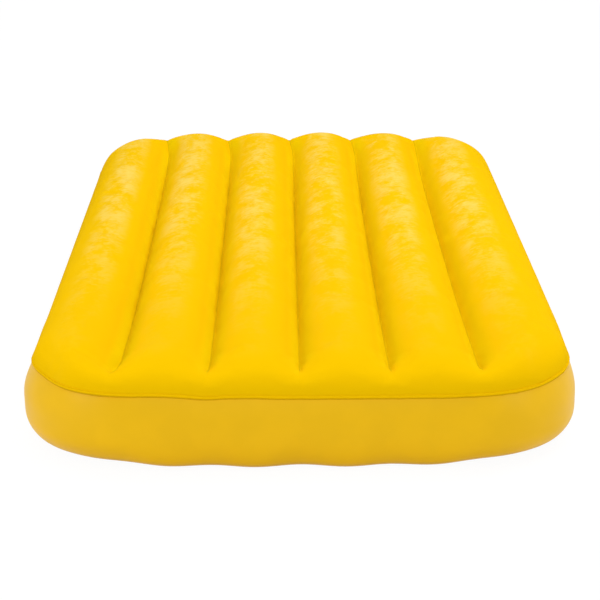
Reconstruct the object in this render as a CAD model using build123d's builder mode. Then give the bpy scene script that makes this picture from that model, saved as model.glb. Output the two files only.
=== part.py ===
"""Inflated flocked airbed: welded sheets over I-beam webs, with a two-in-one air valve in the far end wall.

Millimetres. +X is across the bed, +Y along it towards the valve end, +Z up.
The origin is on the floor, under the middle of the bed.
"""

from build123d import *
from math import cos, radians, sin, sqrt
import os

# ---------------------------------------------------------------- driving dimensions
bed_width = 880.0
bed_length = 1570.0
bed_height = 180.0
corner_radius = 200.0        # plan radius at the widest outline
channel_pitch = 138.0        # from one lengthwise weld to the next
sheet = 1.2                  # thickness of every vinyl sheet, with its flock

# side band, as heights and as distances inside the widest outline
wide_height = 66.0
wall_radius = 100.0
hem_inset = 10.5
hem_top = 121.0
hem_bottom = 113.0
turn_radius = 26.0           # where the band turns under the bed
turn_angle = 30.0            # how far below the widest line the turn starts
band_underlap = 12.0

# top sheet
crown_radius = 81.0
crown_centre_height = bed_height - crown_radius
weld_half_width = 2.5
weld_depth = 46.0            # from crown to weld at mid length
weld_rise = 7.5              # the weld line climbs by this much towards its ends
weld_end = 706.0             # half length of the welds' creases
fade_length = 55.0           # the groove runs out over this length past the crease
border_dip = 13.0
flat_dip = 0.2               # left in the border so that no arc is quite straight
weld_draw_in = 50.0          # the outer welds stay this far inside the rounded ends

# bottom sheet
floor_cut = 0.5              # the crowns are flattened by this much on the floor
floor_border_height = 1.8
floor_lap = 10.0
floor_rim_run = 30.0
floor_edge_inset = 37.4
floor_weld_height = 37.5
floor_fade_length = 46.0
floor_edge_height = 60.0     # the sheet is shaped out of a block this high
floor_bow = 0.05             # bow left in the underside's flat border
trim_margin = 2.0

# where the sheets' sections are taken, past the centres of the rounded corners
middle_reaches = (-155.0,)
top_stations = (0.0, 0.18, 0.37, 0.52, 0.56, 0.63, 0.70, 0.78, 0.86, 0.93, 0.975, 1.0)
floor_stations = (0.0, 0.22, 0.43, 0.646, 0.70, 0.76, 0.82, 0.88, 0.9385, 0.97, 1.0)

# I-beam webs
web_share = 0.56             # the webs and the underside's welds end at this station of the top
web_thickness = 1.0
web_land_width = 6.0
web_land_thickness = 1.0

# air valve
valve_x = 210.0
collar_radius = 25.0
collar_bore_radius = 21.5
collar_proud = 3.0
collar_depth = 15.0
hole_gap = 0.3
flange_radius = 37.0
flange_thickness = 1.5
seat_radius = 25.5
seat_thickness = 2.0
seat_gap = 0.3
leash_groove_radius = 24.6
leash_groove_width = 1.6
head_radius = 27.0
head_thickness = 2.5
grip_count = 12
grip_radius = 3.0
barrel_gap = 0.3
barrel_wall = 1.8
barrel_depth = 12.0
nozzle_bore_radius = 9.5
nozzle_wall = 2.0
nozzle_proud = 3.0
nozzle_depth = 5.0
spoke_width = 1.5
spoke_depth = 2.0
spoke_count = 4
spoke_ledge = 1.0            # the spokes' ring stands this far into the bore
hub_radius = 2.0
gasket_width = 1.6
gasket_height = 1.6
gasket_height_gap = 0.1
gasket_side_gap = 0.1
gasket_ring_radius = 23.2
leash_thickness = 1.2
leash_width = 6.0
leash_fold_reach = 44.0      # from the valve axis to the middle of the fold
leash_tab = 1.0
ring_inner_radius = 25.0
ring_width = 3.4
lower_ring = 0.6             # the fixed leash ring's distance from the wall
flap_radius = 11.0
flap_thickness = 0.8
flap_gap = 0.3
flap_tail_width = 6.0
flap_pin_radius = 0.8
flap_hinge_rise = 1.1        # hinge axis above the nozzle's outside
flap_hinge_drop = 0.7        # hinge axis behind the nozzle's inner end
cap_gap = 0.3
cap_wall = 1.8
cap_top = 1.2
cap_edge = 0.6
cap_tail_width = 6.0
cap_tail_thickness = 1.6
cap_hinge_height = 16.0      # hinge axis above the valve axis
cap_hinge_out = 1.4          # hinge axis in front of the plug's head
cap_knuckle_radius = 1.2
cap_pin_radius = 1.0
ear_place = 4.2              # middle of each hinge ear, each side of the valve axis
ear_thickness = 1.6
ear_margin = 0.8
flap_ear_margin = 0.5
pin_gap = 0.08
pin_recess = 0.2

# ---------------------------------------------------------------- derived dimensions
half_width = bed_width / 2
half_length = bed_length / 2
corner_x = half_width - corner_radius
corner_y = half_length - corner_radius
hem_radius = corner_radius - hem_inset
rim_run = sqrt(crown_radius**2 - (hem_top - crown_centre_height) ** 2)
floor_edge_radius = corner_radius - floor_edge_inset
outer_weld_x = 2 * channel_pitch
web_end = corner_y + (hem_radius - sheet) * web_share
inner_floor_extra = 0.8      # the inside of a weld floor is this much wider each side

os.makedirs("parts", exist_ok=True)


def export(builder, name):
    """Label a finished piece and write it as a STEP file."""
    builder.part.label = name
    export_step(builder.part, f"parts/{name}.step")


def smooth(start, end, value):
    """0 before start, 1 past end, and an S-curve between them."""
    share = min(1.0, max(0.0, (value - start) / (end - start)))
    return share * share * (3 - 2 * share)


def cross_plane(y):
    """The plane across the bed at y, with X to the right and Z up."""
    return Plane.XZ.offset(-y)


def edge_distance(x, y, plan_radius):
    """How far a point is inside an outline whose corners have the given plan radius."""
    across = max(0.0, abs(x) - corner_x)
    along = max(0.0, abs(y) - corner_y)
    return plan_radius - sqrt(across**2 + along**2)


def plan_half_width(y, plan_radius):
    """Half the width at y of an outline whose corners have the given plan radius."""
    along = max(0.0, abs(y) - corner_y)
    return corner_x + sqrt(max(0.0, plan_radius**2 - along**2))


def weld_places(edge_x):
    """X of the five lengthwise welds, drawn together where the corners narrow the bed."""
    outer = min(outer_weld_x, edge_x - weld_draw_in)
    return [outer * step / 2 for step in (2, 1, 0, -1, -2)]


# ---------------------------------------------------------------- top sheet
def crown_height(x, y, inset):
    """Height of the rounded border and crowns, before the weld grooves are drawn in."""
    run = max(0.0, rim_run - edge_distance(x, y, hem_radius))
    return crown_centre_height + sqrt((crown_radius - inset) ** 2 - min(run, crown_radius - inset - 1) ** 2)


def groove_depth(y):
    """How far the weld line lies below the crowns at y."""
    crease = weld_depth - weld_rise * min(1.0, abs(y) / weld_end) ** 4
    border = border_dip * min(1.0, max(0.0, corner_y + hem_radius - abs(y)) / rim_run)
    fade = smooth(weld_end, weld_end + fade_length, abs(y))
    return crease * (1 - fade) + (border + flat_dip) * fade


def top_section(y, inset):
    """Closed outline of the bed's upper part at y: hem, crowns and weld floors."""
    edge_x = plan_half_width(y, hem_radius - inset) if abs(y) > corner_y else corner_x + hem_radius - inset
    welds = weld_places(edge_x + inset)
    floor = weld_half_width + (inner_floor_extra if inset else 0.0)
    base = hem_bottom - inset
    shoulder = crown_height(edge_x, y, inset)
    depth = groove_depth(y)
    floors = [crown_height(x, y, inset) - depth for x in welds]
    middles = [(edge_x + welds[0] + floor) / 2]
    middles += [(a + b) / 2 for a, b in zip(welds, welds[1:])]
    middles += [-middles[0]]
    with BuildSketch(cross_plane(y)) as section:
        with BuildLine():
            Line((-edge_x, base), (edge_x, base))
            Line((edge_x, base), (edge_x, shoulder))
            corner = (edge_x, shoulder)
            for middle, weld_x, weld_z in zip(middles, welds, floors):
                ThreePointArc(corner, (middle, crown_height(middle, y, inset)), (weld_x + floor, weld_z))
                Line((weld_x + floor, weld_z), (weld_x - floor, weld_z))
                corner = (weld_x - floor, weld_z)
            ThreePointArc(corner, (middles[-1], crown_height(middles[-1], y, inset)), (-edge_x, shoulder))
            Line((-edge_x, shoulder), (-edge_x, base))
        make_face()
    return section.sketch


def end_to_end(section, reaches, *arguments):
    """Sections from one end of the bed to the other, at the given reaches past the corner centres."""
    places = [-(corner_y + reach) for reach in reversed(reaches)] + [corner_y + reach for reach in reaches]
    return [section(y, *arguments) for y in places]


with BuildPart() as top_sheet:
    for inset, mode in ((0.0, Mode.ADD), (sheet, Mode.SUBTRACT)):
        reaches = [*middle_reaches, *((hem_radius - inset) * share for share in top_stations)]
        loft(end_to_end(top_section, reaches, inset), ruled=True, mode=mode)
export(top_sheet, "top_sheet")


# ---------------------------------------------------------------- bottom sheet
def floor_height(x, y):
    """Height of the underside's crowns and flat border at a point."""
    inside = edge_distance(x, y, floor_edge_radius) - floor_lap
    if inside <= 0:
        return floor_border_height
    rise = max(0.0, 1 - inside / floor_rim_run)
    return (floor_border_height + floor_cut) * rise**2 - floor_cut


def floor_section(y, lift, widen):
    """Closed outline at y of all that is above the bottom sheet's lower or upper skin."""
    edge_x = plan_half_width(y, floor_edge_radius + widen)
    lap_x = min(plan_half_width(y, floor_edge_radius - floor_lap), edge_x - widen - 5.0)
    welds = weld_places(lap_x + 10.0)
    floor = weld_half_width + (inner_floor_extra if lift else 0.0)
    weld_lift = floor_weld_height * (1 - smooth(web_end, web_end + floor_fade_length, abs(y)))
    border = floor_border_height + lift
    middles = [lap_x - 0.21 * (lap_x - welds[0])]
    middles += [(a + b) / 2 for a, b in zip(welds, welds[1:])]
    middles += [-middles[0]]
    with BuildSketch(cross_plane(y)) as section:
        with BuildLine():
            Line((-edge_x, floor_edge_height + lift), (edge_x, floor_edge_height + lift))
            Line((edge_x, floor_edge_height + lift), (edge_x, border))
            Line((edge_x, border), (lap_x, border))
            corner = (lap_x, border)
            for middle, weld_x in zip(middles, welds):
                weld_z = floor_height(weld_x, y) + weld_lift + lift
                crown = (middle, floor_height(middle, y) + lift - floor_bow)
                ThreePointArc(corner, crown, (weld_x + floor, weld_z))
                Line((weld_x + floor, weld_z), (weld_x - floor, weld_z))
                corner = (weld_x - floor, weld_z)
            crown = (middles[-1], floor_height(middles[-1], y) + lift - floor_bow)
            ThreePointArc(corner, crown, (-lap_x, border))
            Line((-lap_x, border), (-edge_x, border))
            Line((-edge_x, border), (-edge_x, floor_edge_height + lift))
        make_face()
    return section.sketch


with BuildPart() as bottom_sheet:
    reaches = [floor_edge_radius * share for share in floor_stations]
    loft(end_to_end(floor_section, reaches, 0.0, 0.0), ruled=True)
    wider = reaches + [floor_edge_radius + trim_margin]
    loft(end_to_end(floor_section, wider, sheet, trim_margin), ruled=True, mode=Mode.SUBTRACT)
    split(bisect_by=Plane.XY, keep=Keep.TOP)
export(bottom_sheet, "bottom_sheet")


# ---------------------------------------------------------------- side band
def arc_point(centre, radius, below):
    """A point on the wall's outline, at an angle below the level of the arc's centre."""
    return (centre[0] + radius * cos(radians(below)), centre[1] - radius * sin(radians(below)))


def band_profile(plane, edge):
    """The band's section: margin behind the hem, bulging wall, turn, and margin under the bed."""
    wall_centre = (edge - wall_radius, wide_height)
    turn_centre = arc_point(wall_centre, wall_radius - turn_radius, turn_angle)
    margin_x = edge - hem_inset - sheet
    half_turn = (turn_angle + 90.0) / 2
    outline = []
    for inset in (0.0, sheet):
        wall = wall_radius - inset
        turn = turn_radius - inset
        shoulder = wide_height + sqrt(wall**2 - (margin_x - inset - wall_centre[0]) ** 2)
        foot = arc_point(turn_centre, turn, 90.0)
        outline.append(
            [
                (margin_x - inset, hem_top),
                (margin_x - inset, shoulder),
                (edge - inset, wide_height),
                arc_point(wall_centre, wall, turn_angle),
                arc_point(turn_centre, turn, half_turn),
                foot,
                (foot[0] - band_underlap, foot[1]),
            ]
        )
    with BuildSketch(plane) as profile:
        with BuildLine():
            for top, start, widest, bend, under, foot, tip in outline:
                Line(top, start)
                ThreePointArc(start, widest, bend)
                ThreePointArc(bend, under, foot)
                Line(foot, tip)
            Line(outline[0][0], outline[1][0])
            Line(outline[0][-1], outline[1][-1])
        make_face()
    return profile.sketch


valve_plane = Plane(origin=(valve_x, half_length, wide_height), x_dir=(-1, 0, 0), z_dir=(0, 1, 0))


def ring(low, high, outer, bore=0.0, mode=Mode.ADD):
    """A disc or ring round the valve axis, between two distances out of the wall."""
    with BuildSketch(valve_plane.offset(low)) as outline:
        Circle(outer)
        if bore:
            Circle(bore, mode=Mode.SUBTRACT)
    extrude(outline.sketch, amount=high - low, mode=mode)


def block(low, high, left, right, bottom, top, mode=Mode.ADD):
    """A small block on the valve, between two distances out of the wall."""
    with BuildSketch(valve_plane.offset(low)) as outline:
        with Locations(((left + right) / 2, (bottom + top) / 2)):
            Rectangle(right - left, top - bottom)
    extrude(outline.sketch, amount=high - low, mode=mode)


def cross_pin(out, height, radius, half_span, mode=Mode.ADD):
    """A pin or hole across the valve, level with the bed's width."""
    centre = valve_plane.from_local_coords(Vector(0, height, out))
    with BuildSketch(Plane(origin=centre, x_dir=(0, 1, 0), z_dir=(1, 0, 0))) as outline:
        Circle(radius)
    extrude(outline.sketch, amount=half_span, both=True, mode=mode)


with BuildPart() as side_wall:
    side = band_profile(cross_plane(corner_y), half_width)
    extrude(side, amount=corner_y)
    revolve(side, axis=Axis((corner_x, corner_y, 0), (0, 0, 1)), revolution_arc=90)
    extrude(band_profile(Plane.YZ.offset(corner_x), half_length), amount=-corner_x)
    mirror(about=Plane.YZ)
    mirror(about=Plane.XZ)
    ring(-wall_radius / 2, collar_proud, collar_radius + hole_gap, mode=Mode.SUBTRACT)
export(side_wall, "side_wall")


# ---------------------------------------------------------------- I-beam webs
web_bottom = floor_weld_height - floor_cut + sheet
web_reaches = [*middle_reaches]
web_reaches += [(hem_radius - sheet) * share for share in top_stations if share <= web_share]
far_half = [corner_y + reach for reach in web_reaches]
web_stations = [-y for y in reversed(far_half)] + far_half


def web_line(x, drop):
    """The underside of the crease at x along the bed, lowered by a distance, as (place along, height)."""
    return [(y, crown_height(x, y, sheet) - groove_depth(y) - drop) for y in web_stations]


def web_layer(x, width, lower, upper):
    """A lengthwise layer of a web between two lines of (place along the bed, height)."""
    with BuildSketch(Plane.YZ.offset(x)) as layer:
        with BuildLine():
            Polyline(*lower, *reversed(upper), close=True)
        make_face()
    extrude(layer.sketch, amount=width / 2, both=True)


for number in range(1, 6):
    beam_x = (number - 3) * channel_pitch
    foot = [(-web_end, web_bottom), (web_end, web_bottom)]
    foot_top = [(y, z + web_land_thickness) for y, z in foot]
    crest = web_line(beam_x, 0.0)
    with BuildPart() as beam:
        web_layer(beam_x, web_thickness, foot, crest)
        web_layer(beam_x, web_land_width, foot, foot_top)
        web_layer(beam_x, web_land_width, web_line(beam_x, web_land_thickness), crest)
    export(beam, f"beam_{number}")


# ---------------------------------------------------------------- air valve: fixed parts
seat_low = collar_proud + seat_gap
seat_high = seat_low + seat_thickness
head_low = seat_high + leash_groove_width
head_high = head_low + head_thickness
nozzle_high = head_high + nozzle_proud
nozzle_radius = nozzle_bore_radius + nozzle_wall

with BuildPart() as valve_base:
    with BuildSketch(Plane.YZ.offset(valve_x)) as layer:
        with Locations((half_length - wall_radius, wide_height)):
            Circle(wall_radius - sheet)
            Circle(wall_radius - sheet - flange_thickness, mode=Mode.SUBTRACT)
    extrude(amount=flange_radius, both=True)
    ring(-wall_radius / 2, collar_proud, flange_radius, mode=Mode.INTERSECT)
    ring(-collar_depth, collar_proud, collar_radius)
    ring(-wall_radius / 2, collar_proud, collar_bore_radius, mode=Mode.SUBTRACT)
export(valve_base, "valve_base")

strap_half = leash_width / 2
tab_reach = ring_inner_radius + ring_width + leash_tab
upper_ring = seat_high + (leash_groove_width - leash_thickness) / 2

for low, name in ((lower_ring, "collar_ring"), (upper_ring, "leash_ring")):
    with BuildPart() as leash_end:
        ring(low, low + leash_thickness, ring_inner_radius + ring_width)
        block(low, low + leash_thickness, -strap_half, strap_half, -tab_reach, -ring_inner_radius)
        ring(low, low + leash_thickness, ring_inner_radius, mode=Mode.SUBTRACT)
    export(leash_end, name)

strap_plane = Plane(origin=(valve_x - strap_half, half_length, wide_height), x_dir=(0, 1, 0), z_dir=(1, 0, 0))
with BuildPart() as leash_strap:
    with BuildSketch(strap_plane):
        middle = (lower_ring + upper_ring + leash_thickness) / 2
        with BuildLine():
            outside = (lower_ring, upper_ring + leash_thickness)
            inside = (lower_ring + leash_thickness, upper_ring)
            for low, high in (outside, inside):
                fold = (high - low) / 2
                turn_at = -leash_fold_reach
                Line((low, -tab_reach), (low, turn_at))
                ThreePointArc((low, turn_at), (middle, turn_at - fold), (high, turn_at))
                Line((high, turn_at), (high, -tab_reach))
            Line((lower_ring, -tab_reach), (lower_ring + leash_thickness, -tab_reach))
            Line((upper_ring, -tab_reach), (upper_ring + leash_thickness, -tab_reach))
        make_face()
    extrude(amount=leash_width)
export(leash_strap, "leash_strap")


# ---------------------------------------------------------------- air valve: screw plug
barrel_radius = collar_bore_radius - barrel_gap
gasket_low = collar_proud + gasket_height_gap
gasket_high = gasket_low + gasket_height
gasket_seat = (gasket_ring_radius + gasket_width / 2 + gasket_side_gap,
               gasket_ring_radius - gasket_width / 2 - gasket_side_gap)
cap_axis_out = head_high + cap_hinge_out
flap_axis_height = nozzle_radius + flap_hinge_rise
flap_axis_out = -nozzle_depth - flap_hinge_drop
ear_half = ear_thickness / 2
ear_span = ear_place + ear_half + ear_margin
cap_ear_half = cap_knuckle_radius + ear_margin
flap_ear_half = flap_pin_radius + ear_margin
flap_ear_back = flap_pin_radius + flap_ear_margin   # short, so that the swinging flap clears it
flap_ear_foot = nozzle_radius - ear_thickness

with BuildPart() as valve_plug:
    ring(seat_low, seat_high, seat_radius)
    ring(seat_high, head_low, leash_groove_radius)
    ring(head_low, head_high, head_radius)
    with BuildSketch(valve_plane.offset(head_low)) as grips:
        with PolarLocations(head_radius + grip_radius / 2, grip_count):
            Circle(grip_radius)
    extrude(grips.sketch, amount=head_thickness, mode=Mode.SUBTRACT)
    ring(seat_low, gasket_high, *gasket_seat, Mode.SUBTRACT)
    ring(-barrel_depth, seat_low, barrel_radius, barrel_radius - barrel_wall)
    ring(-nozzle_depth, nozzle_high, nozzle_radius)
    for side_x in (-ear_place, ear_place):
        left, right = side_x - ear_half, side_x + ear_half
        cap_foot, cap_crest = cap_hinge_height - cap_ear_half, cap_hinge_height + cap_ear_half
        flap_crest = flap_axis_height + flap_ear_half
        block(head_high, cap_axis_out + flap_ear_half, left, right, cap_foot, cap_crest)
        block(flap_axis_out - flap_ear_back, seat_low, left, right, flap_ear_foot, flap_crest)
    cross_pin(cap_axis_out, cap_hinge_height, cap_pin_radius + pin_gap, ear_span, Mode.SUBTRACT)
    cross_pin(flap_axis_out, flap_axis_height, flap_pin_radius + pin_gap, ear_span, Mode.SUBTRACT)
    ring(spoke_depth - nozzle_depth, nozzle_high, nozzle_bore_radius, mode=Mode.SUBTRACT)
    ring(-nozzle_depth, spoke_depth - nozzle_depth, nozzle_bore_radius - spoke_ledge, mode=Mode.SUBTRACT)
    ring(flap_axis_out - 2 * ear_thickness, -nozzle_depth, nozzle_radius, mode=Mode.SUBTRACT)
    with BuildSketch(valve_plane.offset(-nozzle_depth)) as spokes:
        Circle(hub_radius)
        for turn in range(spoke_count // 2):
            Rectangle(2 * nozzle_bore_radius, spoke_width, rotation=360 / spoke_count * (turn + 0.5))
    extrude(spokes.sketch, amount=spoke_depth)
export(valve_plug, "valve_plug")

with BuildPart() as plug_gasket:
    gasket_half = gasket_width / 2
    ring(gasket_low, gasket_high, gasket_ring_radius + gasket_half, gasket_ring_radius - gasket_half)
export(plug_gasket, "plug_gasket")

flap_high = -nozzle_depth - flap_gap
flap_tail = flap_tail_width / 2
with BuildPart() as check_flap:
    ring(flap_high - flap_thickness, flap_high, flap_radius)
    block(flap_high - flap_thickness, flap_high, -flap_tail, flap_tail, 0.0, flap_axis_height)
    cross_pin(flap_axis_out, flap_axis_height, flap_pin_radius, ear_place + ear_half - pin_recess)
export(check_flap, "check_flap")

cap_low = head_high + cap_gap
cap_inside = nozzle_high + cap_gap
cap_bore = nozzle_radius + cap_gap
cap_tail = cap_tail_width / 2
tail_half = cap_tail_thickness / 2
with BuildPart() as nozzle_cap:
    ring(cap_low, cap_inside + cap_top, cap_bore + cap_wall)
    chamfer(nozzle_cap.edges().group_by(Axis.Y)[-1], cap_edge)
    block(cap_axis_out - tail_half, cap_axis_out + tail_half, -cap_tail, cap_tail, 0.0, cap_hinge_height)
    cross_pin(cap_axis_out, cap_hinge_height, cap_knuckle_radius, cap_tail)
    cross_pin(cap_axis_out, cap_hinge_height, cap_pin_radius, ear_place + ear_half)
    ring(cap_low, cap_inside, cap_bore, mode=Mode.SUBTRACT)
export(nozzle_cap, "nozzle_cap")
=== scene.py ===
"""Looks of the inflated flocked airbed: flocked top, vinyl band, vinyl underside and air valve.

Metres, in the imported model's frame: +X across the bed, +Y towards the valve end, +Z up.
"""

from math import cos, hypot, pi, radians, sin, sqrt

import bmesh
import bpy
from mathutils import Euler, Matrix, Vector, noise


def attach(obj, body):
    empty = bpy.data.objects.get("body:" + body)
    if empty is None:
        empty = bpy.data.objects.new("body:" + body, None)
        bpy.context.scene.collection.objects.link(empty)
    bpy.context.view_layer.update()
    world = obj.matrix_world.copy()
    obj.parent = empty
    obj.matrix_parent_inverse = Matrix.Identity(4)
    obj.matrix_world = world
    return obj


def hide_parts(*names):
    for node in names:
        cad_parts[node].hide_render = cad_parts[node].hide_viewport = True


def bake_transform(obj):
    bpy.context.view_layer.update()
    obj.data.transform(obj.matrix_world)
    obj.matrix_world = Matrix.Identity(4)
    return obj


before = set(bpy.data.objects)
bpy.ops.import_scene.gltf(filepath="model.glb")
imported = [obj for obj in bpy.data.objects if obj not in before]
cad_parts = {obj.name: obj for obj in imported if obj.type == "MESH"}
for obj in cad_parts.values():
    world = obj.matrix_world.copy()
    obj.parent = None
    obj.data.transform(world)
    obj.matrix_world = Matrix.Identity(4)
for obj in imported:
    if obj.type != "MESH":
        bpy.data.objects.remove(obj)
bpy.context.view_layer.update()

# ---------------------------------------------------------------- the bed's own sizes
corner_x, corner_y = 0.240, 0.585    # centres of the rounded corners
corner_radius = 0.200                # plan radius at the widest outline
hem_inset = 0.0105                   # from the widest outline in to the hem
hem_radius = corner_radius - hem_inset
hem_top = 0.1245                     # where the top turns over into the hem
hem_edge = 0.1203                    # lower edge of the hem's fold
wide_height = 0.066                  # the band's widest line
wall_radius = 0.100                  # the wall's round below it
shoulder_radius = 0.1407             # the wall's round above its widest line
turn_radius = 0.026                  # the tighter turn at the band's foot
turn_angle = radians(30)             # where that turn begins
underlap = 0.012                     # how far the band runs in under the bed
crown_radius = 0.081                 # the border's round
crown_centre = 0.099                 # height of that round's centre
rim_run = 0.07796                    # from the hem in to where the crowns level out
channel_pitch = 0.138                # from weld to weld
waist_pitch = 0.1368                 # the channels are a little narrower at mid length
weld_shift = -0.0015                 # all the welds lie a little to the left
crease_half = 0.0015                 # half width of a weld
crease_depth, crease_rise = 0.050, 0.009   # at mid length, and how much less at the ends
crease_pinch = 0.0018                # the last sharp step down to the weld
border_dip = 0.013                   # how far the border still dips past a weld's end
near_weld_ends = (0.754, 0.743, 0.746, 0.752, 0.743)   # each weld runs out at its own place
far_weld_end = 0.766
near_rise_start, far_rise_start, rise_end = 0.682, 0.600, 0.778   # where the creases run up to the border
web_end = 0.690
floor_inset = 0.0374                 # from the widest outline in to the underside's edge
floor_radius = corner_radius - floor_inset
floor_rim_run = 0.030                # the underside rounds up over this width
floor_weld_height = 0.0375           # the underside's welds are drawn up this far
floor_weld_end, floor_fade_length = 0.690, 0.046
floor_resting = 0.022                # half width of a channel that lies on the floor
floor_rim_rise = 0.0018              # and by this much
valve_x, valve_z, wall_y = 0.210, wide_height, 0.785
valve_hole = 0.0253
flange_radius = 0.037
lap_x = -0.190                       # where the band's two ends are welded together
barrel_radius = 0.0212               # the plug's barrel, under its thread
thread_lead, thread_turns = 0.004, 2.75
strap_low, strap_high = 0.0012, 0.0061   # the strap's two ends, out from the wall
strap_reach, strap_fold = 0.0288, 0.044  # from the valve's axis to the strap's ends and to its fold

# ---------------------------------------------------------------- how the air draws it out of its level layout
straight_run = 0.718                 # the channels' narrowing dies out here
left_flare, far_notch = 0.009, 0.009   # how far the welds lean left at the near left and at the far end
left_waist = 0.0070                  # the left side pulled in at mid length
near_left_pull, near_right_pull = 0.0056, 0.0030   # the near corners, drawn in along the hem
hem_near_rise, hem_left_rise, hem_tip_rise = 0.0013, 0.0052, 0.0008   # the near hem, its left part, its left corner
hem_channel_rises = ((-0.09, 0.0013), (0.27, 0.0012))   # (across, rise) at two of the channels
hem_wave, crown_wave, band_wave = 0.0006, 0.0012, 0.0012   # slight unevenness of each
far_crown_rise = 0.0016              # the crowns stand higher at the far left
pucker_height, pucker_past = 0.0013, 0.012   # the bump, and how far past a weld's end it lies
corner_off_floor, corner_resting = 0.0080, 0.0040   # lift beside a corner, and how much less halfway round it
corner_swell, end_swell, end_pinch = 0.0040, 0.0050, 0.0040   # the foot's bulges, and the pinch at each weld
weld_off_floor = 0.0026
valve_weld_stand = 0.0007            # the band stands out where the valve is welded on
air_reach = 0.005                    # no point of the top moves further than this under air
web_clear = 0.0008                   # the webs' edges stay this far behind the sheets

# The hem's section from the top's margin to its cut edge and on down the band: (out, up from the hem's top, 1 for the
# cut edge and for the strip below it that carries a painted shadow line under the hem).
hem_section = (
    (-0.0008, -0.0010, 0), (0.0004, -0.0015, 0), (0.0016, -0.0018, 0), (0.0022, -0.0026, 0),
    (0.0023, -0.0040, 0), (0.0020, -0.0044, 0), (0.0012, -0.0048, 1), (0.0013, -0.0073, 1), (-0.0014, -0.0080, 1),
)


def ease(start, end, value):
    """0 before start, 1 past end, and an S-curve between them."""
    share = min(1.0, max(0.0, (value - start) / (end - start)))
    return share * share * (3 - 2 * share)


def edge_distance(x, y, plan_radius):
    """How far a point is inside an outline whose corners have the given plan radius."""
    return plan_radius - hypot(max(0.0, abs(x) - corner_x), max(0.0, abs(y) - corner_y))


def outward(x, y):
    """Level direction from a point near the rim straight out of the bed."""
    across, along = max(0.0, abs(x) - corner_x), max(0.0, abs(y) - corner_y)
    length = hypot(across, along) or 1.0
    return Vector((across / length * (1 if x > 0 else -1), along / length * (1 if y > 0 else -1), 0))


def swell(x, y, size, seed):
    """Soft unevenness, from -1 to 1, that repeats at about the given size."""
    return noise.noise(Vector((x / size, y / size, seed)))


# ---------------------------------------------------------------- working with pieces
def finished(work, name, smooth=True):
    """Turns modelling work into a named piece."""
    mesh = bpy.data.meshes.new(name)
    work.to_mesh(mesh)
    work.free()
    mesh.polygons.foreach_set("use_smooth", [smooth] * len(mesh.polygons))
    piece = bpy.data.objects.new(name, mesh)
    bpy.context.scene.collection.objects.link(piece)
    return piece


def new_verts(result):
    return [item for item in result["geom"] if isinstance(item, bmesh.types.BMVert)]


def new_edges(result):
    return [item for item in result["geom"] if isinstance(item, bmesh.types.BMEdge)]


def subdivide(piece):
    """Puts one smoothing subdivision on a piece, the same in view and render."""
    modifier = piece.modifiers.new("Subdivision", "SUBSURF")
    modifier.levels = modifier.render_levels = 1


def relaxed_by_air(piece, held, reach):
    """Lets air pressure shape a sheet between its held points; no point moves further than reach."""
    welds = piece.vertex_groups.new(name="welds")
    welds.add(held, 1.0, "REPLACE")
    start = [point.co.copy() for point in piece.data.vertices]
    cloth = piece.modifiers.new("Air", "CLOTH")
    settings = cloth.settings
    settings.quality, settings.mass, settings.air_damping = 6, 0.3, 2.0
    settings.tension_stiffness = settings.compression_stiffness = 15.0
    settings.shear_stiffness, settings.bending_stiffness = 8.0, 0.6
    settings.vertex_group_mass = "welds"
    settings.use_pressure, settings.uniform_pressure_force = True, 4.0
    settings.effector_weights.gravity = 0.0
    settings.shrink_min = -0.006
    scene = bpy.context.scene
    for step in range(1, 21):
        scene.frame_set(step)
    blown = piece.evaluated_get(bpy.context.evaluated_depsgraph_get()).data
    moved = [blown.vertices[index].co - place for index, place in enumerate(start)]
    piece.modifiers.remove(cloth)
    piece.vertex_groups.remove(welds)
    scene.frame_set(1)
    for point, place, move in zip(piece.data.vertices, start, moved):
        length = move.length
        point.co = place + move * (reach / (reach + length)) if length > 0 else place


# ---------------------------------------------------------------- flocked top
weld_places = [step * channel_pitch for step in range(-2, 3)]
off_weld = (
    0.0, 0.0008, 0.0015, 0.0021, 0.0031, 0.0044, 0.0068, 0.010, 0.0142, 0.0195, 0.0258, 0.033, 0.0412, 0.0503, 0.060,
)
outer_columns = (0.351, 0.361, 0.371, 0.381, 0.390, 0.398, 0.406, 0.413, 0.419, 0.4235, 0.427, 0.4295)
columns = sorted(
    {round(place + side * off, 5) for place in weld_places for off in off_weld for side in (-1, 1)}
    | {side * (place + channel_pitch / 2) for place in (0.0, channel_pitch) for side in (-1, 1)}
    | {side * place for place in outer_columns for side in (-1, 1)}
)
half_rows = [0.016 * step for step in range(39)]
half_rows += [0.622, 0.634, 0.645, 0.655, 0.665, 0.674, 0.682, 0.689, 0.695, 0.700, 0.705, 0.710, 0.715, 0.720, 0.725]
half_rows += [0.731, 0.737, 0.743, 0.749, 0.755, 0.760, 0.765, 0.769, 0.772, 0.7745]
rows = sorted({round(side * row, 5) for row in half_rows for side in (-1, 1)})


def plan_place(x, y):
    """Where a point of the square sheet lies once its corners are rounded; the welds stay straight."""
    across, along = (abs(x) - corner_x) / hem_radius, (abs(y) - corner_y) / hem_radius
    if across <= 0 or along <= 0:
        return x, y
    straight = (1 - ease(0.32, 0.75, across)) * (1 - ease(0.74, 1.0, along))
    across *= 1 + straight * (1 / sqrt(1 - along * along / 2) - 1)
    round_x = corner_x + hem_radius * across * sqrt(1 - along * along / 2)
    round_y = corner_y + hem_radius * along * sqrt(1 - across * across / 2)
    return round_x * (1 if x > 0 else -1), round_y * (1 if y > 0 else -1)


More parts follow.
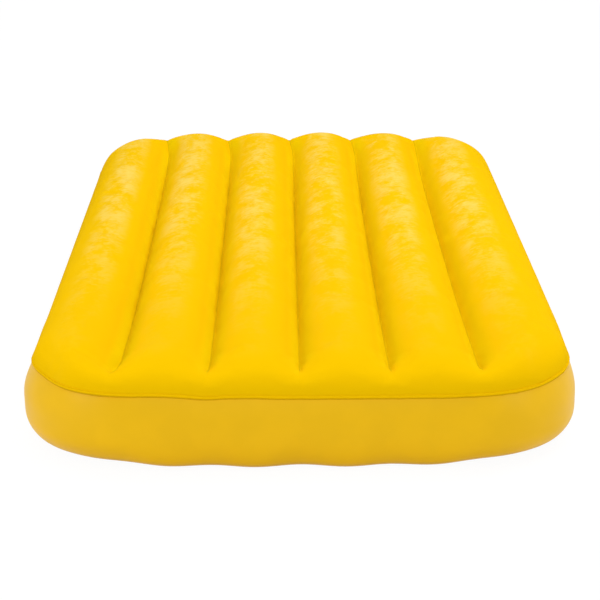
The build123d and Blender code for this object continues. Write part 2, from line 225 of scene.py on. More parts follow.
def sheet_grid():
    """A flat grid of the top's plan, with its rows and columns close together where the sheet bends."""
    work = bmesh.new()
    bmesh.ops.create_grid(work, x_segments=len(columns) - 1, y_segments=len(rows) - 1, size=1.0)
    for point in work.verts:
        column = columns[round((point.co.x + 1) / 2 * (len(columns) - 1))]
        row = rows[round((point.co.y + 1) / 2 * (len(rows) - 1))]
        point.co.x, point.co.y = plan_place(column, row)
    return work


def nearest_weld(x):
    return min(weld_places, key=lambda place: abs(place - x))


def weld_end(x, y):
    return near_weld_ends[weld_places.index(nearest_weld(x))] if y < 0 else far_weld_end


def drawn_in(x, y, z):
    """Where the air draws a point of the level layout to: narrower channels and one side pulled in at mid length."""
    middle = 1 - min(1.0, abs(y) / straight_run) ** 3
    inside = 1 - ease(0.29, 0.42, abs(x))
    welds = x * (waist_pitch / channel_pitch - 1) * middle + weld_shift
    flare = -left_flare * ease(0.64, 0.75, -y) * ease(0.07, 0.28, -x)
    notch = -far_notch * ease(0.64, 0.76, y) * (1 - 0.6 * ease(0.15, 0.27, x))
    side = left_waist * ease(0.30, 0.41, -x) * (1 - ease(0.45, 0.72, abs(y - 0.08))) * ease(wide_height, hem_edge, z)
    return x + inside * (welds + flare + notch) + side


def corner_pull(x, y, z):
    """How far the two near corners are drawn in along the hem."""
    end = ease(0.42, 0.60, -y) * ease(0.35, 0.41, abs(x))
    return end * ease(0.075, hem_edge, z) * (near_left_pull if x < 0 else near_right_pull)


def corner_share(x, y):
    """How much a point lies in a rounded corner: 0 beside it, 1 halfway round its rim."""
    across, along = max(0.0, abs(x) - corner_x), max(0.0, abs(y) - corner_y)
    return min(1.0, 2 * across * along / hem_radius**2)


def crown_height(x, y):
    """Height of the rounded border and crowns, before the welds draw them in; corners round up sooner."""
    sooner = (0.4 if x > 0 else 0.2) - 0.17 * ease(-0.1, 0.1, y)
    inside = edge_distance(x, y, hem_radius) * (1 + sooner * corner_share(x, y))
    run = min(rim_run, max(0.0, rim_run - inside))
    return crown_centre + sqrt(crown_radius**2 - run**2)


def groove_depth(x, y):
    """How far the weld's crease lies below the crowns: deepest at mid length, running out past its end."""
    rise_start = near_rise_start if y < 0 else far_rise_start
    crease = crease_depth - crease_rise * min(1.0, abs(y) / 0.60) ** 4
    outer_left = 0.55 * ease(0.20, 0.28, -x) * ease(0.0, 0.5, y)
    outer_right = 0.25 * ease(0.20, 0.28, x) * ease(0.0, 0.5, y)
    border = border_dip * (1 - outer_left + outer_right) * min(1.0, max(0.0, edge_distance(x, y, hem_radius)) / rim_run)
    fade = ease(rise_start, rise_end, abs(y))
    return crease * (1 - fade) + border * fade


def channel_dip(x, y):
    """How far a channel's round lies below its crown at x; past the weld's end the cleft turns soft."""
    away = abs(x - nearest_weld(x))
    half_channel = channel_pitch / 2
    if abs(x) > 2 * channel_pitch:
        half_channel = corner_x + hem_radius - rim_run - 2 * channel_pitch
    depth = groove_depth(x, y)
    if away >= half_channel or depth < 1e-5:
        return 0.0
    end = weld_end(x, y)
    soft = ease(end - 0.006, end + 0.016, abs(y))
    chord = half_channel - crease_half
    radius = (chord**2 + depth**2) / (2 * depth)
    along = max(0.0, half_channel - hypot(max(away, crease_half), 0.006 * soft))
    pinch = crease_pinch * (1 - ease(end - 0.030, end, abs(y))) * (1 - ease(crease_half, 0.007, away))
    return radius - sqrt(radius**2 - along**2) + pinch


def pucker(x, y):
    """The small bump that the border pushes up past each weld's end."""
    away = abs(x - nearest_weld(x))
    past = abs(y) - near_weld_ends[weld_places.index(nearest_weld(x))] - pucker_past
    return pucker_height * (1 - ease(0.0, 0.014, away)) * (1 - ease(0.0, 0.014, abs(past)))


def hem_lift(x, y):
    """The hem rides up towards one near corner and between some channels, and waves slightly everywhere."""
    corner = hem_left_rise * ease(0.130, 0.235, -x) + hem_tip_rise * ease(0.36, 0.42, -x)
    rises = sum(rise * (1 - ease(0.02, 0.06, abs(x - place))) for place, rise in hem_channel_rises)
    return (corner + rises + hem_near_rise) * ease(0.50, 0.70, -y) + hem_wave * swell(x, y, 0.055, 3.0)


def top_height(x, y):
    """Height of the flocked top before the air rounds it."""
    inside = edge_distance(x, y, hem_radius)
    crown = crown_height(x, y) - channel_dip(x, y) + pucker(x, y)
    crown += crown_wave * swell(x, y, 0.11, 1.0) * ease(0.0, 0.06, inside)
    crown += far_crown_rise * ease(0.55, 0.70, y) * (1 - ease(0.10, 0.20, x)) * ease(0.0, 0.06, inside)
    return crown + (hem_lift(x, y) + hem_top - 0.121) * (1 - ease(0.0, 0.05, inside))


def flocked_top_sheet():
    work = sheet_grid()
    across = work.verts.layers.float.new("across")
    for point in work.verts:
        x, y = point.co.xy
        point[across] = x
        height = top_height(x, y)
        point.co = Vector((drawn_in(x, y, height), y, height)) - outward(x, y) * corner_pull(x, y, hem_edge)
    return finished(work, "flocked_top")


def held_by_welds():
    """The numbers of the grid's points that the welds and the hem hold while air fills the bed."""
    held = []
    for number in range(len(columns) * len(rows)):
        column, row = columns[number % len(columns)], rows[number // len(columns)]
        on_weld = abs(column - nearest_weld(column)) < crease_half + 1e-4 and abs(row) < weld_end(column, row)
        on_rim = max(abs(column) - columns[-3], abs(row) - rows[-3]) > 0
        if on_weld or on_rim:
            held.append(number)
    return held


def add_hem(piece):
    """Rolls the sheet's margin into the narrow hem that laps over the band; its cut edge, and a strip run down the band
    below it as a painted shadow line, take the second finish.
    """
    work = bmesh.new()
    work.from_mesh(piece.data)
    last_out = 0.0
    for step, (out, drop, finish) in enumerate(hem_section):
        rim = [edge for edge in work.edges if edge.is_boundary]
        grown = bmesh.ops.extrude_edge_only(work, edges=rim)
        for face in grown["geom"]:
            if isinstance(face, bmesh.types.BMFace):
                face.material_index = finish
        for point in new_verts(grown):
            x, y = point.co.xy
            ragged = 0.0012 * max(0.0, swell(x, y, 0.008, 7.0) - 0.30) * ease(3, 4, step) * ease(-0.1, 0.1, x)
            point.co += outward(x, y) * (out - last_out + ragged)
            point.co.z = hem_top + drop + hem_lift(x, y) - ragged
        last_out = out
    bmesh.ops.recalc_face_normals(work, faces=work.faces)
    work.to_mesh(piece.data)
    work.free()
    piece.data.polygons.foreach_set("use_smooth", [True] * len(piece.data.polygons))


# ---------------------------------------------------------------- side band
def settled(x, y, z, low):
    """How the filled bed sits: corners and welds lift off the floor, and the ends' foot bulges between the welds."""
    round_corner = ease(0.48, 0.66, abs(y)) * ease(0.31, 0.41, abs(x))
    corner = ease(0.14, 0.31, abs(x)) * ease(0.48, 0.66, abs(y)) * (corner_off_floor - corner_resting * round_corner)
    full = round_corner * ease(0.0, 0.025, z) * (1 - ease(0.030, 0.062, z)) * corner_swell
    end = ease(corner_y, 0.73, abs(y)) * (1 - ease(0.22, 0.36, abs(x)))
    welds = 0.5 + 0.5 * cos(2 * pi * x / channel_pitch)
    if y > 0:
        end *= ease(0.040, 0.075, hypot(x - valve_x, z - valve_z))
    place = Vector((x, y, z + low * (corner + weld_off_floor * welds * end)))
    return place + outward(x, y) * (low * end * (end_swell - end_pinch * welds) + full)


def band_outline():
    """The band's section as (distance inside the widest outline, height), from behind the hem to its foot."""
    points = []
    for step in range(9):
        height = hem_top - 0.001 + (wide_height - hem_top + 0.001) * step / 9
        points.append((shoulder_radius - sqrt(shoulder_radius**2 - (height - wide_height) ** 2), height))
    for step in range(8):
        angle = turn_angle * step / 7
        points.append((wall_radius - wall_radius * cos(angle), wide_height - wall_radius * sin(angle)))
    turn_in = wall_radius - (wall_radius - turn_radius) * cos(turn_angle)
    turn_height = wide_height - (wall_radius - turn_radius) * sin(turn_angle)
    for step in range(1, 8):
        angle = turn_angle + (pi / 2 - turn_angle) * step / 7
        points.append((turn_in - turn_radius * cos(angle), turn_height - turn_radius * sin(angle)))
    foot_in, foot_height = points[-1]
    points += [(foot_in + underlap / 2, foot_height), (foot_in + underlap, foot_height)]
    return points


def settle_band(work):
    """Gives the swept band its slight unevenness and lets it sit on the floor."""
    for point in work.verts:
        x, y, z = point.co
        low = 1 - ease(0.008, 0.070, z)
        high = ease(0.070, hem_top, z)
        place = settled(x, y, z, low)
        wave = band_wave * swell(x, y + z * 2.0, 0.16, 5.0) * (1 - high) * ease(0.01, 0.04, z)
        weld = valve_weld_stand * (1 - ease(0.034, 0.044, hypot(x - valve_x, z - valve_z))) if y > 0.7 else 0.0
        point.co = place + outward(x, y) * (wave + weld - corner_pull(x, y, z))
        point.co.x = drawn_in(point.co.x, y, z) if abs(x) > 0.41 else point.co.x
        point.co.z += hem_lift(x, y) * high


def side_band_sheet():
    work = bmesh.new()
    chain = [work.verts.new((corner_x, corner_y + corner_radius - inside, height)) for inside, height in band_outline()]
    edges = [work.edges.new(pair) for pair in zip(chain, chain[1:])]
    turned = bmesh.ops.spin(
        work, geom=chain + edges, cent=(corner_x, corner_y, 0), axis=(0, 0, -1), angle=pi / 2, steps=22,
        use_merge=False,
    )["geom_last"]
    last = [item for item in turned if isinstance(item, bmesh.types.BMEdge)]
    for front, direction, length, count in ((last, (0, -1, 0), corner_y, 42), (edges, (-1, 0, 0), corner_x, 20)):
        for _ in range(count):
            grown = bmesh.ops.extrude_edge_only(work, edges=front)
            bmesh.ops.translate(work, verts=new_verts(grown), vec=Vector(direction) * (length / count))
            front = new_edges(grown)
            front = [edge for edge in front if abs((edge.verts[0].co - edge.verts[1].co).dot(Vector(direction))) < 1e-6]
    for axis in ("X", "Y"):
        bmesh.ops.mirror(work, geom=work.verts[:] + work.edges[:] + work.faces[:], axis=axis, merge_dist=1e-5)
    bmesh.ops.remove_doubles(work, verts=work.verts, dist=1e-5)
    cut_valve_hole(work)
    settle_band(work)
    bmesh.ops.recalc_face_normals(work, faces=work.faces)
    return finished(work, "side_band")


def cut_valve_hole(work):
    """Opens the far wall round the valve's collar."""
    def from_valve(point):
        return hypot(point.x - valve_x, point.z - valve_z)

    near = [edge for edge in work.edges if all(v.co.y > 0.7 and from_valve(v.co) < 0.050 for v in edge.verts)]
    bmesh.ops.subdivide_edges(work, edges=near, cuts=2, use_grid_fill=True)
    inner = [face for face in work.faces if face.calc_center_median().y > 0.7
             and from_valve(face.calc_center_median()) < valve_hole]
    bmesh.ops.delete(work, geom=inner, context="FACES")
    for point in {v for edge in work.edges if edge.is_boundary for v in edge.verts}:
        if point.co.y > 0.7 and from_valve(point.co) < 0.035:
            scale = valve_hole / from_valve(point.co)
            point.co.x = valve_x + (point.co.x - valve_x) * scale
            point.co.z = valve_z + (point.co.z - valve_z) * scale


# ---------------------------------------------------------------- underside
def floor_height(x, y):
    """Height of the underside: flat where it rests, drawn up to the welds between the channels."""
    inside = edge_distance(x, y, floor_radius)
    rise = max(0.0, 1 - max(0.0, inside - 0.010) / floor_rim_run)
    away = max(0.0, abs(x - nearest_weld(x)) - crease_half)
    weld_rise = floor_weld_height * (1 - ease(floor_weld_end, floor_weld_end + floor_fade_length, abs(y)))
    reach = max(0.0, 1 - away / (channel_pitch / 2 - floor_resting))
    return floor_rim_rise * rise**2 + weld_rise * (1 - sqrt(max(0.0, 1 - reach**2)))


def underside_sheet():
    work = sheet_grid()
    for point in work.verts:
        x, y = point.co.xy
        inside = edge_distance(x, y, hem_radius)
        shift = (hem_radius - floor_radius) * (1 - ease(0.0, 0.075, inside))
        place = Vector((x, y, 0)) - outward(x, y) * shift
        height = floor_height(place.x, place.y)
        margin = 1 - ease(0.0, 0.05, edge_distance(place.x, place.y, floor_radius))
        point.co = settled(place.x, place.y, height, margin)
    bmesh.ops.reverse_faces(work, faces=work.faces)
    return finished(work, "underside")


# ---------------------------------------------------------------- webs and lap
def web_sheet(number, weld_x):
    """One web inside the bed, from the crease of a top weld down to the underside's weld."""
    work = bmesh.new()
    along = [web_end * (step / 24 - 1) for step in range(49)]
    crest = [Vector((drawn_in(weld_x, y, 0.1), y, top_height(weld_x, y) - web_clear)) for y in along]
    foot = [settled(weld_x, y, floor_height(weld_x, y) + web_clear, 1.0) for y in along]
    chain = [work.verts.new(place) for place in crest]
    edges = [work.edges.new(pair) for pair in zip(chain, chain[1:])]
    for step in range(1, 7):
        grown = bmesh.ops.extrude_edge_only(work, edges=edges)
        points = sorted(new_verts(grown), key=lambda point: point.co.y)
        for point, high, low in zip(points, crest, foot):
            point.co = high.lerp(low, step / 6)
        ends = set(points)
        edges = [edge for edge in new_edges(grown) if ends.issuperset(edge.verts)]
    bmesh.ops.recalc_face_normals(work, faces=work.faces)
    return finished(work, f"web_{number}")


def band_lap():
    """The upright lap where the band's two ends are welded together."""
    work = bmesh.new()
    line = [(corner_y + corner_radius - inside, height) for inside, height in band_outline()[1:-3]]
    chain = [work.verts.new((lap_x, y, z)) for y, z in line]
    edges = [work.edges.new(pair) for pair in zip(chain, chain[1:])]
    for shift in ((0.0009, 0.0008, 0), (0.0102, 0, 0), (0.0009, -0.0008, 0)):
        grown = bmesh.ops.extrude_edge_only(work, edges=edges)
        bmesh.ops.translate(work, verts=new_verts(grown), vec=shift)
        ends = set(new_verts(grown))
        edges = [edge for edge in new_edges(grown) if ends.issuperset(edge.verts)]
    settle_band(work)
    bmesh.ops.recalc_face_normals(work, faces=work.faces)
    return finished(work, "band_lap")


# ---------------------------------------------------------------- air valve
def closed(work, name):
    """Caps the open ends of a spun or drawn section and makes it a piece."""
    bmesh.ops.holes_fill(work, edges=[edge for edge in work.edges if edge.is_boundary])
    bmesh.ops.recalc_face_normals(work, faces=work.faces)
    return finished(work, name)


def drawn(work, geometry, direction, count):
    """Draws a loop of edges along a straight line in equal steps."""
    edges = [item for item in geometry if isinstance(item, bmesh.types.BMEdge)]
    for _ in range(count):
        grown = bmesh.ops.extrude_edge_only(work, edges=edges)
        bmesh.ops.translate(work, verts=new_verts(grown), vec=Vector(direction) / count)
        ends = set(new_verts(grown))
        edges = [edge for edge in new_edges(grown) if ends.issuperset(edge.verts)]
    return edges


def leash_fold():
    """The soft strap that hangs in a fold between the fixed ring and the plug's ring."""
    work = bmesh.new()
    wide, thick, round_off = 0.0030, 0.0006, 0.0003
    corners = []
    for side, face in ((-1, -1), (1, -1), (1, 1), (-1, 1)):
        flat, upright = (side * (wide - round_off), face * thick), (side * wide, face * (thick - round_off))
        corners += [upright, flat] if side * face > 0 else [flat, upright]
    top = valve_z - strap_reach
    points = [work.verts.new((valve_x + across, wall_y + strap_low + out, top)) for across, out in corners]
    edges = [work.edges.new(pair) for pair in zip(points, points[1:] + points[:1])]
    lower = drawn(work, edges, (0, 0, strap_reach - strap_fold), 4)
    centre = (valve_x, wall_y + (strap_low + strap_high) / 2, valve_z - strap_fold)
    ends = list({point for edge in lower for point in edge.verts})
    turned = bmesh.ops.spin(
        work, geom=ends + lower, cent=centre, axis=(1, 0, 0), angle=pi, steps=14, use_merge=False,
    )["geom_last"]
    drawn(work, turned, (0, 0, strap_fold - strap_reach), 4)
    return closed(work, "leash_fold")


def plug_thread():
    """The plug's screw thread on its barrel."""
    work = bmesh.new()
    low = wall_y - 0.0112
    section = ((-0.0003, -0.0009), (0.00026, -0.00025), (0.00026, 0.00025), (-0.0003, 0.0009))
    points = [work.verts.new((valve_x + barrel_radius + out, low + along, valve_z)) for out, along in section]
    edges = [work.edges.new(pair) for pair in zip(points, points[1:] + points[:1])]
    bmesh.ops.spin(
        work, geom=points + edges, cent=(valve_x, low, valve_z), axis=(0, 1, 0), dvec=(0, thread_lead / 36, 0),
        angle=2 * pi * thread_turns, steps=round(36 * thread_turns), use_merge=False,
    )
    return closed(work, "plug_thread")


# ---------------------------------------------------------------- the pieces
flocked_top = flocked_top_sheet()
relaxed_by_air(flocked_top, held_by_welds(), air_reach)
add_hem(flocked_top)
side_band = side_band_sheet()
underside = underside_sheet()
for piece in (flocked_top, side_band):
    subdivide(piece)
webs = [web_sheet(number, weld_x) for number, weld_x in enumerate(weld_places, 1)]
lap = band_lap()
leash = leash_fold()
thread = plug_thread()


# ---------------------------------------------------------------- finishes
class Signal:
    """One number that a node gives; arithmetic on it adds Math nodes."""

    def __init__(self, nodes, socket):
        self.nodes, self.socket = nodes, socket

    def _math(self, operation, *operands):
        node = self.nodes.node("ShaderNodeMath", {"operation": operation}, dict(enumerate(operands)))
        return Signal(self.nodes, node.outputs[0])

    def __add__(self, other):
        return self._math("ADD", self, other)

    __radd__ = __add__

    def __sub__(self, other):
        return self._math("SUBTRACT", self, other)

    def __rsub__(self, other):
        return self._math("SUBTRACT", other, self)

    def __mul__(self, other):
        return self._math("MULTIPLY", self, other)

    __rmul__ = __mul__

    def __truediv__(self, other):
        return self._math("DIVIDE", self, other)

    def root(self):
        return self._math("SQRT", self)

    def size(self):
        return self._math("ABSOLUTE", self)

    def capped(self):
        return self._math("MINIMUM", self, 1.0)

    def fraction(self):
        return self._math("FRACT", self)

    def between(self, low, high):
        """0 below low, 1 above high, eased between them."""
        settings = {"interpolation_type": "SMOOTHSTEP"}
        node = self.nodes.node("ShaderNodeMapRange", settings, {"Value": self, "From Min": low, "From Max": high})
        return Signal(self.nodes, node.outputs["Result"])


class Nodes:
    """An emptied node tree of a material or world, with one call for each node it gets."""

    def __init__(self, owner):
        owner.use_nodes = True
        self.tree = owner.node_tree
        self.tree.nodes.clear()

    def node(self, kind, settings=None, inputs=None):
        """Adds a node with its settings, and then the values or links of its sockets."""
        made = self.tree.nodes.new(kind)
        for name, value in (settings or {}).items():
            setattr(made, name, value)
        for name, value in (inputs or {}).items():
            if isinstance(value, Signal):
                value = value.socket
            if isinstance(value, bpy.types.NodeSocket):
                self.tree.links.new(value, made.inputs[name])
            else:
                made.inputs[name].default_value = value
        return made

    def rays(self, *kinds):
        """1 for the named kinds of ray and 0 for the others."""
        path = self.node("ShaderNodeLightPath")
        first, *others = [Signal(self, path.outputs[kind]) for kind in kinds]
        return sum(others, first).capped()


class Finish(Nodes):
    """A material in object coordinates."""

    def __init__(self, name):
        self.material = bpy.data.materials.new(name)
        super().__init__(self.material)
        self.place = self.node("ShaderNodeTexCoord").outputs["Object"]

    def stretched(self, scale):
        """Object coordinates scaled along each axis, for grain that runs one way."""
        return self.node("ShaderNodeMapping", {}, {"Vector": self.place, "Scale": scale}).outputs["Vector"]

    def noise(self, scale, detail=3.0, roughness=0.5, place=None):
        node = self.node("ShaderNodeTexNoise", {}, {
            "Vector": place or self.place, "Scale": scale, "Detail": detail, "Roughness": roughness,
        })
        return Signal(self, node.outputs["Fac"])

    def axis(self, name):
        node = self.node("ShaderNodeSeparateXYZ", {}, {"Vector": self.place})
        return Signal(self, node.outputs[name])

    def attribute(self, name):
        """A number kept with the piece's points."""
        return Signal(self, self.node("ShaderNodeAttribute", {"attribute_name": name}).outputs["Fac"])

    def mixed(self, share, first, second):
        """A colour between two others."""
        node = self.node("ShaderNodeMix", {"data_type": "RGBA"}, {0: share, 6: first, 7: second})
        return node.outputs[2]

    def bump(self, height, distance, strength=1.0, under=None):
        inputs = {"Height": height, "Distance": distance, "Strength": strength}
        if under is not None:
            inputs["Normal"] = under
        return self.node("ShaderNodeBump", {}, inputs).outputs["Normal"]

    def surface(self, kind, inputs):
        """Ends the material in a shader of the given kind."""
        self.node("ShaderNodeOutputMaterial", {}, {"Surface": self.node(kind, {}, inputs).outputs[0]})
        return self.material


def colour(red, green, blue):
    return (red, green, blue, 1.0)


flock_yellow = colour(0.975, 0.580, 0.0006)
# pale brushed nap, its paleness partly a painted sheen highlight
flock_pale_and_sheen = colour(0.970, 0.690, 0.130)
# painted shade tone for the flank just right of each weld
flock_flank_shade = colour(0.880, 0.630, 0.001)
# painted highlight for the flank just left of each weld
flock_painted_highlight = colour(0.980, 0.720, 0.001)
# crushed nap at the welds, darkened further as painted crease shade
flock_crushed_and_shade = colour(0.740, 0.490, 0.001)
# painted shade for the border as it rolls down to the hem
flock_rim_shade = colour(0.880, 0.530, 0.0006)
# the hem's cut edge, darkened also as a painted shadow under the hem
flock_cut_and_shadow = colour(0.660, 0.375, 0.001)
flock_sheen = colour(1.0, 0.70, 0.02)
vinyl_yellow = colour(0.905, 0.525, 0.0015)
vinyl_inner = colour(0.800, 0.470, 0.020)
gloss_yellow = colour(0.800, 0.480, 0.030)
gasket_black = colour(0.050, 0.050, 0.050)
flap_pale = colour(0.750, 0.720, 0.660)

# Noise scales, where more is finer, and depths in metres.
nap_patches, nap_streaks, nap_fibres, nap_depth = 15.0, 125.0, 1400.0, 0.0005
vinyl_clouds, vinyl_grain, vinyl_grain_depth = 14.0, 900.0, 0.00008
fray_grain = 600.0
diamond_size, diamond_depth = 0.0024, 0.0004   # the welding die's pattern
outer_weld_side = (0.330, 0.345)     # the channels' shading dies out across this strip


def flock_finish():
    """Velvety nap: crushed at the welds and painted darker there as crease shade, painted shade on one flank of each
    channel and on the rim, a painted highlight on the other flank, and pale brushed streaks with a painted sheen along
    the crowns.
    """
    flock = Finish("flock")
    across = flock.attribute("across")
    length, height = flock.axis("Y"), flock.axis("Z")

    # Where a point lies: its share of the way from weld to weld, and how near it is to the ends of the bed.
    channel = (across / channel_pitch).fraction()
    from_weld = (0.5 - (channel - 0.5).size()) * channel_pitch
    on_bed = 1 - across.size().between(*outer_weld_side)
    past_near, past_far = (length * -1).between(0.712, 0.756), length.between(0.758, 0.773)
    ends = (past_near + past_far).capped()

    # The welds' nap is pressed flat and its crease is also painted darker as shade; one flank of each channel gets a
    # painted shade tone and the other a painted highlight.
    flank_shade = (1 - (channel * channel_pitch).between(0.003, 0.034)) * on_bed * (1 - length.size().between(0.69, 0.75))
    # crushed nap along each weld, made darker also as painted crease shade
    crushed_and_shade = (1 - from_weld.between(0.0004, 0.0024 - ends * 0.0014)) * on_bed * (1 - ends)
    # painted shade: the flock darkens low on the border towards the hem
    rim = (1 - height.between(0.124, 0.158)) * (1 - on_bed * (1 - length.size().between(0.69, 0.745)))
    # painted highlight on the flank just left of each weld, fading out towards the ends
    lit = ((channel - 1) * channel_pitch * -1 - 0.003).between(0.0, 0.018)
    lit = (1 - lit) * on_bed * (1 - (length * -1).between(0.69, 0.76)) * (1 - length.between(0.60, 0.70))

    # Hands leave brushed patches along the crowns, more of them towards the far end; their pale colour is partly a
    # painted sheen highlight.
    crown = 1 - (channel - 0.43).size().between(0.10, 0.33)
    patches = flock.noise(nap_patches, 4.0, 0.62, flock.stretched((1.5, 0.75, 0.5)))
    fine = flock.noise(nap_streaks, 3.0, 0.65, flock.stretched((0.70, 1.0, 0.2)))
    far = length.between(-0.75, 0.30)
    streaks = (patches * 0.62 + fine * 0.38).between(0.42, 0.64)
    brushed_and_sheen = streaks * crown * (far * 0.86 + 0.04) * (1 - length.size().between(0.700, 0.745))
    fibres = flock.noise(nap_fibres, 2.0, 0.7)

    shade = flock_yellow
    for share, tone in (
        (flank_shade, flock_flank_shade), (lit, flock_painted_highlight), (rim, flock_rim_shade), (brushed_and_sheen, flock_pale_and_sheen), (crushed_and_shade, flock_crushed_and_shade),
    ):
        shade = flock.mixed(share, shade, tone)
    normal = flock.bump(fibres + fine * 0.6, nap_depth, 0.5)
    return flock.surface("ShaderNodeBsdfPrincipled", {
        "Base Color": shade, "Roughness": 1.0, "Specular IOR Level": 0.01,
        "Sheen Weight": 0.03, "Sheen Roughness": 0.5, "Sheen Tint": flock_sheen, "Normal": normal,
    })


def cut_edge_and_shadow_finish():
    """The hem's trimmed edge, where the vinyl shows between frayed flock, and the strip below it down the band; its
    dark colour is also a painted shadow under the hem.
    """
    edge = Finish("flock_cut_edge_and_shadow")
    frayed = edge.noise(fray_grain, 2.0, 0.6)
    shade = edge.mixed(frayed.between(0.45, 0.8) * 0.3, flock_cut_and_shadow, flock_yellow)
    return edge.surface("ShaderNodeBsdfPrincipled", {
        "Base Color": shade, "Roughness": 0.9, "Specular IOR Level": 0.05,
    })


def valve_weld_pattern(vinyl):
    """The ring of small diamonds that the welding die presses into the wall round the valve."""
    across, up = vinyl.axis("X") - valve_x, vinyl.axis("Z") - valve_z
    away = (across * across + up * up).root()
    ring = away.between(0.0262, 0.0268) * (1 - away.between(flange_radius - 0.0008, flange_radius))
    ring = ring * vinyl.axis("Y").between(0.74, 0.76)
    rising = (((across + up) / diamond_size).fraction() - 0.5).size()
    falling = (((across - up) / diamond_size).fraction() - 0.5).size()
    return ring * ((rising + falling) * 0.5 - 1.0)


def vinyl_finish(name, base, roughness, specular=0.3, embossed=False):
    """Calendered vinyl or moulded plastic: slightly cloudy, with a very fine grain."""
    vinyl = Finish(name)
    cloudy = vinyl.noise(vinyl_clouds, 3.0, 0.5)
    grain = vinyl.noise(vinyl_grain, 2.0, 0.5)
    tone = tuple(channel * 0.93 for channel in base[:3]) + (1.0,)
    shade = vinyl.mixed(cloudy.between(0.35, 0.65) * 0.5, base, tone)
    normal = vinyl.bump(grain, vinyl_grain_depth, 0.4)
    if embossed:
        normal = vinyl.bump(valve_weld_pattern(vinyl), diamond_depth, 0.6, normal)
    return vinyl.surface("ShaderNodeBsdfPrincipled", {
        "Base Color": shade, "Roughness": cloudy * 0.08 + (roughness - 0.04), "Specular IOR Level": specular,
        "Normal": normal,
    })


flock = flock_finish()
cut_edge_and_shadow = cut_edge_and_shadow_finish()
side_vinyl = vinyl_finish("side_vinyl", vinyl_yellow, 0.42, 0.16, embossed=True)
underside_vinyl = vinyl_finish("underside_vinyl", vinyl_yellow, 0.5)
web_vinyl = vinyl_finish("web_vinyl", vinyl_inner, 0.5)
valve_plastic = vinyl_finish("valve_plastic", gloss_yellow, 0.30, 0.5)
gasket_rubber = vinyl_finish("gasket_rubber", gasket_black, 0.55, 0.4)
flap_rubber = vinyl_finish("flap_rubber", flap_pale, 0.50, 0.4)


def finish_piece(piece, material, body, slot, *nodes):
    """Gives a piece its finish and the body that it rides on, and hides the solids that it stands in for; its slot is
    not used.
    """
    piece.data.materials.append(material)
    if body:
        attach(piece, body)
    if nodes:
        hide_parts(*nodes)


finish_piece(flocked_top, flock, "root", "flocked_top", "top_sheet")
flocked_top.data.materials.append(cut_edge_and_shadow)
finish_piece(side_band, side_vinyl, "root", "side_vinyl", "side_wall")
finish_piece(underside, underside_vinyl, "root", "underside_vinyl", "bottom_sheet")
finish_piece(lap, side_vinyl, "root", "side_vinyl")
for number, web in enumerate(webs, 1):
    finish_piece(web, web_vinyl, "root", "web_vinyl", f"beam_{number}")
finish_piece(thread, valve_plastic, "plug", "plug_plastic")
finish_piece(leash, valve_plastic, None, "leash_plastic", "leash_strap")
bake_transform(leash)

node_finishes = {"plug_gasket": gasket_rubber, "check_flap": flap_rubber}
for name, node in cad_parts.items():
    for place in node.material_slots:
        place.material = node_finishes.get(name, valve_plastic)


# ---------------------------------------------------------------- floor, light and camera
white = colour(1, 1, 1)
floor_grey = colour(0.78, 0.78, 0.78)
floor_half_width, floor_gap = 30.0, 0.0002     # the floor lies just under the underside
floor_glow, floor_glow_share = 1.055, 0.90     # how much of the seen floor is its own white; the rest takes the shadow
surround_strength = 0.45
softboxes = (   # name, place, target, width, height, watts
    ("key_softbox", (1.35, 0.1, 2.45), (0, 0, 0.1), 1.2, 1.4, 24.0),
    ("top_softbox", (-0.5, 0.3, 2.8), (0, 0, 0.1), 2.0, 2.0, 21.0),
    ("front_softbox", (0, -4.5, 1.8), (0, -0.8, 0.1), 3.0, 1.6, 22.0),
    ("back_softbox", (0, 4.5, 1.6), (0, 0.8, 0.1), 3.0, 1.6, 14.0),
    ("left_softbox", (-2.4, -1.9, 0.9), (0, -0.3, 0.1), 1.0, 1.2, 20.0),
    ("right_softbox", (2.4, -1.9, 0.9), (0, -0.3, 0.1), 1.0, 1.2, 13.0),
)
camera_lens, camera_film = 111.0, 36.0
camera_place = (-0.0272, -3.357, 1.129)
camera_tilt, camera_turn, camera_roll = 0.319, 0.010, 0.003


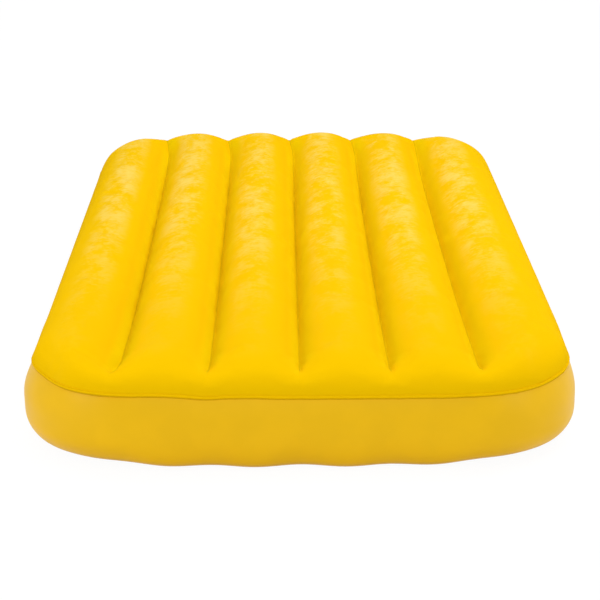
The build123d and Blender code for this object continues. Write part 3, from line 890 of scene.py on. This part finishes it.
def floor():
    work = bmesh.new()
    bmesh.ops.create_grid(work, x_segments=1, y_segments=1, size=floor_half_width)
    bmesh.ops.translate(work, verts=work.verts, vec=(0, 0, -floor_gap))
    piece = finished(work, "floor", smooth=False)
    paper = Finish("floor_paper")
    seen = paper.rays("Is Camera Ray", "Is Glossy Ray", "Is Transmission Ray")
    plain = paper.node("ShaderNodeBsdfDiffuse", {}, {"Color": floor_grey})
    lit = paper.node("ShaderNodeEmission", {}, {"Color": white, "Strength": floor_glow})
    paper.surface("ShaderNodeMixShader", {0: seen * floor_glow_share, 1: plain.outputs[0], 2: lit.outputs[0]})
    piece.data.materials.append(paper.material)


floor()


def softbox(name, place, target, width, height, power):
    """A large soft white lamp that faces the target."""
    lamp = bpy.data.lights.new(name, "AREA")
    lamp.shape = "RECTANGLE"
    lamp.size, lamp.size_y, lamp.energy = width, height, power
    box = bpy.data.objects.new(name, lamp)
    box.location = place
    box.rotation_euler = (Vector(target) - Vector(place)).to_track_quat("-Z", "Y").to_euler()
    bpy.context.scene.collection.objects.link(box)


def world_light():
    """An even pale surround that lights the bed, and shows as plain white behind it."""
    world = bpy.data.worlds.new("studio")
    bpy.context.scene.world = world
    studio = Nodes(world)
    seen = studio.rays("Is Camera Ray", "Is Transmission Ray")
    around = studio.node("ShaderNodeBackground", {}, {"Color": white, "Strength": surround_strength})
    backdrop = studio.node("ShaderNodeBackground", {}, {"Color": white, "Strength": 1.0})
    mix = studio.node("ShaderNodeMixShader", {}, {0: seen, 1: around.outputs[0], 2: backdrop.outputs[0]})
    studio.node("ShaderNodeOutputWorld", {}, {"Surface": mix.outputs[0]})


world_light()
for softbox_row in softboxes:
    softbox(*softbox_row)

lens = bpy.data.cameras.new("camera")
lens.lens, lens.sensor_width = camera_lens, camera_film
camera = bpy.data.objects.new("camera", lens)
facing = Euler((pi / 2 - camera_tilt, 0, -camera_turn)).to_matrix() @ Matrix.Rotation(-camera_roll, 3, "Z")
camera.location, camera.rotation_euler = camera_place, facing.to_euler()
bpy.context.scene.collection.objects.link(camera)
bpy.context.scene.camera = camera
bpy.context.scene.view_settings.view_transform = "Standard"
